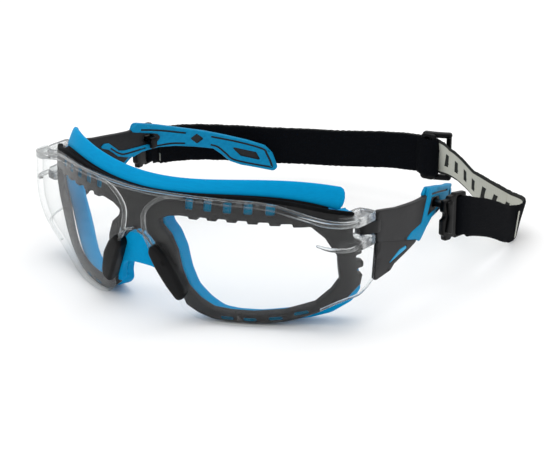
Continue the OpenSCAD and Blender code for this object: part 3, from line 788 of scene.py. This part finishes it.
# Strap clips: glossy black nylon plates outside the temples. Each has a hook that goes through the slot
# in the arm, stepped teeth at its front corner, and a loop at its rear for the strap's end.
clip_corner = (69.4, 80.6)
clip_turn = math.radians(-9)
clip_t = 2.2
clip_side = [[3.6, 33.2], [3.2, 29], [4.6, 28.4], [4.6, 26.6], [3, 26], [3, 20.6], [4.2, 19.8],
             [4.4, 18], [7.6, 17.8], [8, 18.6], [9.6, 18.6], [10, 17.8], [15.6, 17.8], [15.6, 34.2],
             [9.4, 34.9], [8.8, 34.2], [6.6, 34.2], [6.2, 33.2]]
clip_loop = [[10.4, 18.9], [12.6, 18.9], [12.6, 33.4], [10.4, 33.4]]
clip_rib = [[4.6, 32.4], [7.6, 33], [7.6, 20], [4.4, 21.4], [5.6, 27]]
hook_shank = [[83.9, 30.3], [87.5, 30.3], [87.5, 32.3], [83.9, 32.3]]
hook_catch = [[83.9, 27.7], [87.5, 27.7], [87.5, 32.3], [83.9, 32.3]]
clip_black = moulded_finish("clip_black", (4, 4, 5), (8, 8, 9), 0.27, 0.4, 0.015, 0.14)


def clip_spot(side, out, along):
    """The x and y of a spot this far out from a clip's inner face and this far back along it."""
    return (side * (clip_corner[0] + out * math.cos(clip_turn) - along * math.sin(clip_turn)),
            clip_corner[1] + out * math.sin(clip_turn) + along * math.cos(clip_turn))


for side, word in ((1, "left"), (-1, "right")):
    def on_clip(along, z, depth):
        return (*clip_spot(side, clip_t - depth, along), z)

    def on_hook(y, z, depth):
        return (side * (half_w + 0.8 - depth), y, z)

    parts = [moulded("clip_plate_" + word, clip_side, on_clip, 0, clip_t, [clip_black],
                     holes=[clip_loop], soft=0.5, corner=0.9, grid=2),
             moulded("clip_rib_" + word, clip_rib, on_clip, -0.9, 1.2, [clip_black], soft=0.35,
                     corner=0.8, grid=2),
             moulded("clip_shank_" + word, hook_shank, on_hook, 0, 8.3, [clip_black], soft=0.3,
                     corner=0.6, grid=1.5),
             moulded("clip_catch_" + word, hook_catch, on_hook, 7.2, 8.6, [clip_black], soft=0.4,
                     corner=0.9, grid=1.5)]
    for part in parts:
        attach(part, "temple_" + word)
    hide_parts("strap_clip_" + word)

# Strap: flat elastic webbing, black outside and ivory with black edges inside. It doubles back at the
# slider, and the inner layer runs on to the right clip. A bar of stitches shows near its left end.
strap_w = 15
strap_t = 1.3
layer_gap = 0.15
strap_route = [(73.4, 97.4, 16.4), (73.4, 105, 14.2), (72.9, 113, 11.4), (72.2, 121, 8),
               (71.2, 129, 4.4), (70, 136, 1.6), (68.9, 140, 0.5), (68.2, 143, 0), (66.9, 146.5, 0),
               (64.8, 149.4, 0), (61.8, 151.4, 0), (58.4, 152.6, 0.4), (52, 154.4, 3),
               (45.5, 156.2, 6.6), (39, 158, 10.6), (32.5, 158.9, 13.6), (26, 158.7, 14.8),
               (18, 157.9, 14.8), (10, 157.1, 14.4), (2, 156.2, 13.8), (-8, 154.8, 12.6),
               (-20, 152.2, 11.4), (-32, 148.6, 10.8), (-42, 143.9, 10.6), (-49.6, 138.8, 11),
               (-56, 133, 11.8), (-61.6, 125.6, 13), (-66, 117.4, 14.4), (-69.6, 108.6, 15.6),
               (-72, 101, 16.2), (-73.2, 97.4, 16.4)]
route_fine = 10
route = curve_through(strap_route, route_fine * (len(strap_route) - 1) + 1)
route_place = np.arange(len(route)) / route_fine
route_lean = np.interp(route_place, [5, 9.5, 11, 13, 15, 17], np.radians([0, 18, 12, -14, -18, 0]))


def sides_and_run(path):
    """The level way to the outer side of a path at each of its points, and its length up to each."""
    d = np.gradient(path, axis=0)
    sides = np.stack([d[:, 1], -d[:, 0], d[:, 0] * 0], 1)
    sides /= np.linalg.norm(sides, axis=1)[:, None]
    return sides, np.concatenate([[0], np.cumsum(np.linalg.norm(np.diff(path, axis=0), axis=1))])


route_side, route_run = sides_and_run(route)


def webbing_finish(name, face, thread, patterned=False):
    """Woven elastic: fine ribs along the strap, a small diagonal weave across it and loose fibres.
    The patterned face has dark edges and a row of slanted bars with a short tick between them."""
    material, tree, shader = finish_named(name, face, 0.85)
    shader.inputs["Specular IOR Level"].default_value = 0.04
    make, link = tree.nodes.new, tree.links.new

    def number(kind, a, b=None):
        node = make("ShaderNodeMath")
        node.operation = kind
        for socket, value in ((0, a), (1, b)):
            if isinstance(value, (int, float)):
                node.inputs[socket].default_value = value
            elif value is not None:
                link(value, node.inputs[socket])
        return node.outputs[0]

    rib_pitch, pick_pitch, bar_pitch = 0.62, 0.8, 5.4
    at, split = make("ShaderNodeUVMap"), make("ShaderNodeSeparateXYZ")
    at.uv_map = "weave"
    link(at.outputs[0], split.inputs[0])
    along, across = split.outputs[0], split.outputs[1]
    ribs = number("SINE", number("MULTIPLY", across, 2 * math.pi / rib_pitch))
    picks = number("SINE", number("ADD", number("MULTIPLY", along, 2 * math.pi / pick_pitch),
                                  number("MULTIPLY", ribs, 1.4)))
    weave = number("ADD", number("MULTIPLY", ribs, 0.25), number("MULTIPLY", picks, 0.25))
    weave = number("ADD", weave, 0.5)
    height = number("ADD", weave, number("MULTIPLY", noise(tree, 1600, 4), 0.7))
    uneven(tree, shader, height, 0.7, 0.0002)
    mix = make("ShaderNodeMix")
    mix.data_type = "RGBA"
    mix.inputs["A"].default_value, mix.inputs["B"].default_value = face, thread
    link(number("MULTIPLY", height, 0.6), mix.inputs["Factor"])
    last = mix.outputs["Result"]
    if patterned:
        off_middle = number("ABSOLUTE", number("SUBTRACT", across, strap_w / 2))
        pitches = number("DIVIDE", along, bar_pitch)
        slant = number("FRACT", number("ADD", pitches, number("MULTIPLY", across, 0.05)))
        bars = number("MULTIPLY", number("LESS_THAN", off_middle, 3.1), number("LESS_THAN", slant, 0.34))
        from_tick = number("ABSOLUTE", number("SUBTRACT", number("FRACT", pitches), 0.72))
        ticks = number("MULTIPLY", number("LESS_THAN", from_tick, 0.07),
                       number("LESS_THAN", off_middle, 1.6))
        dark = number("MAXIMUM", number("GREATER_THAN", off_middle, 6.3), number("MAXIMUM", bars, ticks))
        print_mix = make("ShaderNodeMix")
        print_mix.data_type = "RGBA"
        print_mix.inputs["B"].default_value = linear(20, 22, 26)
        link(last, print_mix.inputs["A"])
        link(number("MULTIPLY", dark, 0.95), print_mix.inputs["Factor"])
        last = print_mix.outputs["Result"]
    link(last, shader.inputs["Base Color"])
    return material


black_web = webbing_finish("webbing_black", linear(5, 6, 9), linear(14, 16, 20))
ivory_web = webbing_finish("webbing_ivory", linear(176, 176, 164), linear(214, 214, 203), True)


def ribbon(name, centres, sides, runs, finishes, width=strap_w, thick=strap_t, wave=0.08, leans=None):
    """A band of webbing on edge: a smooth face on each side, with thin soft selvedges. Its lower edge
    follows centres. finishes are for its outer face and its inner face. leans turn its top outward."""
    across = [0, 0.02, 0.06, 0.12] + [0.12 + 0.76 * k / 9 for k in range(1, 10)] + [0.94, 0.98, 1]
    full = [min(1, max(0.25, math.sqrt(min(a, 1 - a) / 0.06))) for a in across]
    columns = len(across)
    points, faces, marks, weave = [], [], [], []
    for c, s, run, lean in zip(centres, sides, runs, [0] * len(centres) if leans is None else leans):
        up = np.array([0, 0, math.cos(lean)]) + s * math.sin(lean)
        for face in (1, -1):
            for k in (range(columns) if face > 0 else range(columns - 1, -1, -1)):
                a, f = across[k], full[k]
                ripple = wave * math.sin(run * 0.21 + 2.3 * a) * math.sin(run * 0.083 + 5 * a)
                nap = 0.12 * math.sin(run * 5.1 + 17 * a) * math.sin(run * 2.3)
                fray = nap * 1.3 if k in (0, columns - 1) else 0
                points.append(c + s * (face * f * thick / 2 + ripple) + up * (a * width + fray))
                weave.append((run, a * width))
    around = 2 * columns
    for i in range(len(centres) - 1):
        for k in range(around):
            a, b = i * around + k, i * around + (k + 1) % around
            faces.append((a, b, b + around, a + around))
            marks.append(1 if columns <= k < around - 1 else 0)
    for first in (0, (len(centres) - 1) * around):
        for k in range(columns - 1):
            faces.append((first + k, first + k + 1, first + around - 2 - k, first + around - 1 - k))
            marks.append(0)
    return make_piece(name, points, faces, marks, finishes, 65, weave)


def strap_piece(name, first, last, shift=0, finishes=(black_web, ivory_web)):
    """A stretch of the strap, from one place on the route to another, moved inward by shift."""
    i = slice(int(first * route_fine), int(last * route_fine) + 1)
    return ribbon(name, route[i] - route_side[i] * shift, route_side[i], route_run[i], finishes,
                  leans=route_lean[i])


left_end, corner_end, back_end, return_start = 6, 11, 23, 17
route_end = len(strap_route) - 1
inner = strap_t + layer_gap
doubled = (ivory_web, black_web)
left_run = strap_piece("webbing_left_run", 0, left_end)
corner_piece = strap_piece("webbing_corner", left_end, corner_end)
back_piece = strap_piece("webbing_back", corner_end, back_end)
right_run = strap_piece("webbing_right_run", back_end, route_end)
return_back = strap_piece("webbing_return_back", return_start, back_end, inner, doubled)
return_run = strap_piece("webbing_return_run", back_end, route_end - 0.7, inner, doubled)
stitch_thread, tree, shader = finish_named("stitch_thread", linear(205, 205, 196), 0.7)
stitches = []
stitch_at, stitch_zigzag, stitch_rise = 6.6, 0.14, 0.5
for k in range(22):
    c, s, lean = (np.array([np.interp(stitch_at + stitch_zigzag * (k % 2), route_place, line)
                            for line in lines.T]) for lines in (route, route_side, route_lean[:, None]))
    up = np.array([0, 0, math.cos(lean[0])]) + s * math.sin(lean[0])
    stitches.append(c + s * (strap_t / 2 + 0.15) + up * (1.8 + stitch_rise * k))
stitch_bar = bead("webbing_stitches", stitches, tuple(s), 0.9, 0.5, [stitch_thread], around=8)
for piece in (corner_piece, back_piece, return_back, stitch_bar):
    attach(piece, "front")
for piece in (left_run, corner_piece, back_piece, right_run, return_back, return_run):
    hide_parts(piece.name.replace("webbing", "strap"))
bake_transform(left_run)
for piece in (right_run, return_run):
    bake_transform(piece)

# Strap ends: thinner black webbing. Each end goes through the loop of its clip, round the rear bar, and
# is sewn to itself.
end_w, end_t = 14.4, 0.9
end_path = [(2.0, 21.6), (2.5, 19), (2.9, 16.5), (2.95, 13.8), (2.6, 12), (1.1, 11.1), (-0.4, 12),
            (-0.8, 13.8), (-0.7, 16.5), (-0.3, 19), (0.2, 21.6)]


def wrapped(name, body, spots, width=strap_w):
    """A short length of thin black webbing round a bar, along these spots, that rides on this body."""
    sides, run = sides_and_run(spots)
    piece = ribbon(name, spots, sides, run, (black_web, black_web), width, end_t, wave=0)
    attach(piece, body)


for side, word in ((1, "left"), (-1, "right")):
    wrapped("strap_end_" + word, "temple_" + word,
            np.array([(*clip_spot(side, out, along), 18.7 - 0.33 * max(0, along - 13))
                      for out, along in curve_through(end_path, 44)]), end_w)

# Slider: a black nylon plate with one slot, and two rails that run from it to a post. The strap runs
# between the rails, and a loop of it is sewn round the plate's inner bar. It slides to set the length.
slider_low = [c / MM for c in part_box("strap_slider")[0]]
rail_t = 2.1
slider_black = moulded_finish("slider_black", (5, 5, 6), (9, 9, 10), 0.3, 0.35, 0.015, 0.12)


def on_slider(x, z, depth):
    return (slider_low[0] + x, slider_low[1] + depth, slider_low[2] + z)


plate_side = [[0, 0.3], [6.5, 0.3], [6.5, 19.3], [0, 19.3]]
plate_slot = [[2, 2.2], [4.5, 2.2], [4.5, 17.8], [2, 17.8]]
slider_plate = moulded("slider_plate", plate_side, on_slider, 0, 2, [slider_black], holes=[plate_slot],
                       soft=0.6, corner=1.8, grid=2)
slider_post = bead("slider_post", [on_slider(10, z, 5.6) for z in np.linspace(0.9, 18.7, 12)],
                   (0, 1, 0), 2, 1.7, [slider_black], square=0.6, around=16)
slider_parts = [slider_plate, slider_post]
for word, z in (("low", 1), ("high", 18.6)):
    path = [on_slider(1 + 9.4 * k / 7, z, 2.2 + 3.2 * (k / 7) ** 1.5) for k in range(8)]
    slider_parts.append(bead("slider_rail_" + word, path, (0, 1, 0), rail_t, 3.2, [slider_black],
                             square=0.5, around=16))
loop_path = [(-2.4, 1.6), (-0.6, 0.2), (2, -0.75), (4.5, -0.8), (6.6, -0.4), (7.5, 0.9), (6.7, 2.4),
             (4.4, 2.8), (1.6, 2.7)]
wrapped("slider_loop", "slider",
        np.array([on_slider(x, 2.4, y) for x, y in curve_through(loop_path, 36)]))
for part in slider_parts:
    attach(part, "slider")
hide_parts("strap_slider")
